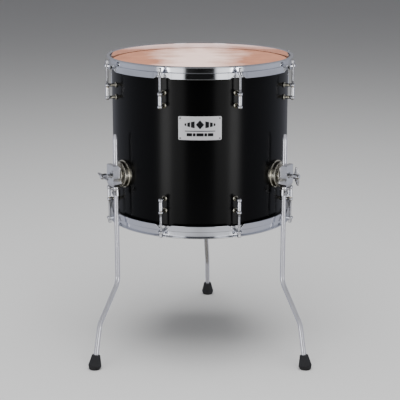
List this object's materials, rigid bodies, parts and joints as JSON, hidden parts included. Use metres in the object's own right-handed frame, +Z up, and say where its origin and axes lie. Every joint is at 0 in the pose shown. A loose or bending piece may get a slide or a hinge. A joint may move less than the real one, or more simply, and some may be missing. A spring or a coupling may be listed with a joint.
{
  "type": "floor tom drum",
  "caption": "Floor tom with a gloss black shell, chromed hoops, tube lugs and tension rods, standing on three adjustable bent legs with rubber feet.",
  "frame": {"origin": "on the floor, under the middle of the outline of the drum and feet seen from above", "axes": "+Z up along the drum's axis, -Y towards the player's view of the badge, +X to the viewer's right"},
  "size_m": [0.5104, 0.5486, 0.6933],
  "materials": {
    "shell_lacquer": "high-gloss black lacquer over plywood",
    "chrome": "polished",
    "rod_chrome": "polished",
    "hoop_chrome": "polished",
    "cast_chrome": "plated casting",
    "leg_chrome": "polished",
    "badge_plate": "brushed",
    "batter_film": "clear polyester film over pale wood",
    "resonant_film": "satin polyester film",
    "flesh_aluminium": "plain",
    "black_gasket": "matte",
    "insert_brass": "turned",
    "zinc_steel": "zinc plated",
    "foot_rubber": "moulded"
  },
  "bodies": {
    "drum": {"shell": "shell_lacquer", "vent_grommet": "chrome", "vent_ring": "chrome", "badge": "badge_plate", "badge_rivets": "chrome", "batter_film": "batter_film", "batter_flesh_hoop": "flesh_aluminium", "batter_hoop": "hoop_chrome", "resonant_film": "resonant_film", "resonant_flesh_hoop": "flesh_aluminium", "resonant_hoop": "hoop_chrome", "batter_lugs": "chrome", "resonant_lugs": "chrome", "lug_gaskets": "black_gasket", "lug_inserts": "insert_brass", "lug_screws": "zinc_steel", "lug_washers": "zinc_steel", "batter_rod_washers": "chrome", "resonant_rod_washers": "chrome", "bracket_left": "cast_chrome", "bracket_right": "cast_chrome", "bracket_rear": "cast_chrome", "bracket_gaskets": "black_gasket", "bracket_screws": "zinc_steel", "bracket_washers": "zinc_steel", "eyebolts": "chrome", "wing_washers": "chrome"},
    "batter_rod_1": {"batter_rod_1": "rod_chrome"},
    "resonant_rod_1": {"resonant_rod_1": "rod_chrome"},
    "batter_rod_2": {"batter_rod_2": "rod_chrome"},
    "resonant_rod_2": {"resonant_rod_2": "rod_chrome"},
    "batter_rod_3": {"batter_rod_3": "rod_chrome"},
    "resonant_rod_3": {"resonant_rod_3": "rod_chrome"},
    "batter_rod_4": {"batter_rod_4": "rod_chrome"},
    "resonant_rod_4": {"resonant_rod_4": "rod_chrome"},
    "batter_rod_5": {"batter_rod_5": "rod_chrome"},
    "resonant_rod_5": {"resonant_rod_5": "rod_chrome"},
    "batter_rod_6": {"batter_rod_6": "rod_chrome"},
    "resonant_rod_6": {"resonant_rod_6": "rod_chrome"},
    "batter_rod_7": {"batter_rod_7": "rod_chrome"},
    "resonant_rod_7": {"resonant_rod_7": "rod_chrome"},
    "batter_rod_8": {"batter_rod_8": "rod_chrome"},
    "resonant_rod_8": {"resonant_rod_8": "rod_chrome"},
    "wing_nut_left": {"wing_nut_left": "cast_chrome"},
    "memory_lock_left": {"memory_lock_left": "cast_chrome"},
    "key_bolt_left": {"key_bolt_left": "rod_chrome"},
    "leg_left": {"leg_left": "leg_chrome", "foot_left": "foot_rubber"},
    "wing_nut_right": {"wing_nut_right": "cast_chrome"},
    "memory_lock_right": {"memory_lock_right": "cast_chrome"},
    "key_bolt_right": {"key_bolt_right": "rod_chrome"},
    "leg_right": {"leg_right": "leg_chrome", "foot_right": "foot_rubber"},
    "wing_nut_rear": {"wing_nut_rear": "cast_chrome"},
    "memory_lock_rear": {"memory_lock_rear": "cast_chrome"},
    "key_bolt_rear": {"key_bolt_rear": "rod_chrome"},
    "leg_rear": {"leg_rear": "leg_chrome", "foot_rear": "foot_rubber"}
  },
  "joints": [
    {"name": "batter_rod_1_turn", "type": "hinge", "parent": "drum", "child": "batter_rod_1", "pos_m": [0.0861, -0.26645, 0.68065], "axis": [0, 0, 1], "continuous": true},
    {"name": "resonant_rod_1_turn", "type": "hinge", "parent": "drum", "child": "resonant_rod_1", "pos_m": [0.0861, -0.26645, 0.32505], "axis": [0, 0, -1], "continuous": true},
    {"name": "batter_rod_2_turn", "type": "hinge", "parent": "drum", "child": "batter_rod_2", "pos_m": [0.20787, -0.14468, 0.68065], "axis": [0, 0, 1], "continuous": true},
    {"name": "resonant_rod_2_turn", "type": "hinge", "parent": "drum", "child": "resonant_rod_2", "pos_m": [0.20787, -0.14468, 0.32505], "axis": [0, 0, -1], "continuous": true},
    {"name": "batter_rod_3_turn", "type": "hinge", "parent": "drum", "child": "batter_rod_3", "pos_m": [0.20787, 0.02753, 0.68065], "axis": [0, 0, 1], "continuous": true},
    {"name": "resonant_rod_3_turn", "type": "hinge", "parent": "drum", "child": "resonant_rod_3", "pos_m": [0.20787, 0.02753, 0.32505], "axis": [0, 0, -1], "continuous": true},
    {"name": "batter_rod_4_turn", "type": "hinge", "parent": "drum", "child": "batter_rod_4", "pos_m": [0.0861, 0.1493, 0.68065], "axis": [0, 0, 1], "continuous": true},
    {"name": "resonant_rod_4_turn", "type": "hinge", "parent": "drum", "child": "resonant_rod_4", "pos_m": [0.0861, 0.1493, 0.32505], "axis": [0, 0, -1], "continuous": true},
    {"name": "batter_rod_5_turn", "type": "hinge", "parent": "drum", "child": "batter_rod_5", "pos_m": [-0.0861, 0.1493, 0.68065], "axis": [0, 0, 1], "continuous": true},
    {"name": "resonant_rod_5_turn", "type": "hinge", "parent": "drum", "child": "resonant_rod_5", "pos_m": [-0.0861, 0.1493, 0.32505], "axis": [0, 0, -1], "continuous": true},
    {"name": "batter_rod_6_turn", "type": "hinge", "parent": "drum", "child": "batter_rod_6", "pos_m": [-0.20787, 0.02753, 0.68065], "axis": [0, 0, 1], "continuous": true},
    {"name": "resonant_rod_6_turn", "type": "hinge", "parent": "drum", "child": "resonant_rod_6", "pos_m": [-0.20787, 0.02753, 0.32505], "axis": [0, 0, -1], "continuous": true},
    {"name": "batter_rod_7_turn", "type": "hinge", "parent": "drum", "child": "batter_rod_7", "pos_m": [-0.20787, -0.14468, 0.68065], "axis": [0, 0, 1], "continuous": true},
    {"name": "resonant_rod_7_turn", "type": "hinge", "parent": "drum", "child": "resonant_rod_7", "pos_m": [-0.20787, -0.14468, 0.32505], "axis": [0, 0, -1], "continuous": true},
    {"name": "batter_rod_8_turn", "type": "hinge", "parent": "drum", "child": "batter_rod_8", "pos_m": [-0.0861, -0.26645, 0.68065], "axis": [0, 0, 1], "continuous": true},
    {"name": "resonant_rod_8_turn", "type": "hinge", "parent": "drum", "child": "resonant_rod_8", "pos_m": [-0.0861, -0.26645, 0.32505], "axis": [0, 0, -1], "continuous": true},
    {"name": "wing_nut_left_turn", "type": "hinge", "parent": "drum", "child": "wing_nut_left", "pos_m": [-0.21487, -0.19811, 0.437], "axis": [-0.8387, -0.5446, 0], "continuous": true},
    {"name": "leg_left_swivel", "type": "hinge", "parent": "drum", "child": "memory_lock_left", "pos_m": [-0.18971, -0.18177, 0.3967], "axis": [0, 0, 1], "continuous": true},
    {"name": "key_bolt_left_turn", "type": "hinge", "parent": "memory_lock_left", "child": "key_bolt_left", "pos_m": [-0.19898, -0.18779, 0.3967], "axis": [0.5446, -0.8387, 0], "continuous": true},
    {"name": "leg_left_slide", "type": "slide", "parent": "memory_lock_left", "child": "leg_left", "axis": [0, 0, -1], "range_m": [-0.11, 0.06]},
    {"name": "wing_nut_right_turn", "type": "hinge", "parent": "drum", "child": "wing_nut_right", "pos_m": [0.21487, -0.19811, 0.437], "axis": [0.8387, -0.5446, 0], "continuous": true},
    {"name": "leg_right_swivel", "type": "hinge", "parent": "drum", "child": "memory_lock_right", "pos_m": [0.18971, -0.18177, 0.3967], "axis": [0, 0, 1], "continuous": true},
    {"name": "key_bolt_right_turn", "type": "hinge", "parent": "memory_lock_right", "child": "key_bolt_right", "pos_m": [0.19898, -0.18779, 0.3967], "axis": [0.5446, 0.8387, 0], "continuous": true},
    {"name": "leg_right_slide", "type": "slide", "parent": "memory_lock_right", "child": "leg_right", "axis": [0, 0, -1], "range_m": [-0.11, 0.06]},
    {"name": "wing_nut_rear_turn", "type": "hinge", "parent": "drum", "child": "wing_nut_rear", "pos_m": [0.01787, 0.197, 0.437], "axis": [0.0698, 0.9976, 0], "continuous": true},
    {"name": "leg_rear_swivel", "type": "hinge", "parent": "drum", "child": "memory_lock_rear", "pos_m": [0.01578, 0.16708, 0.3967], "axis": [0, 0, 1], "continuous": true},
    {"name": "key_bolt_rear_turn", "type": "hinge", "parent": "memory_lock_rear", "child": "key_bolt_rear", "pos_m": [0.01655, 0.1781, 0.3967], "axis": [-0.9976, 0.0698, 0], "continuous": true},
    {"name": "leg_rear_slide", "type": "slide", "parent": "memory_lock_rear", "child": "leg_rear", "axis": [0, 0, -1], "range_m": [-0.11, 0.06]}
  ]
}
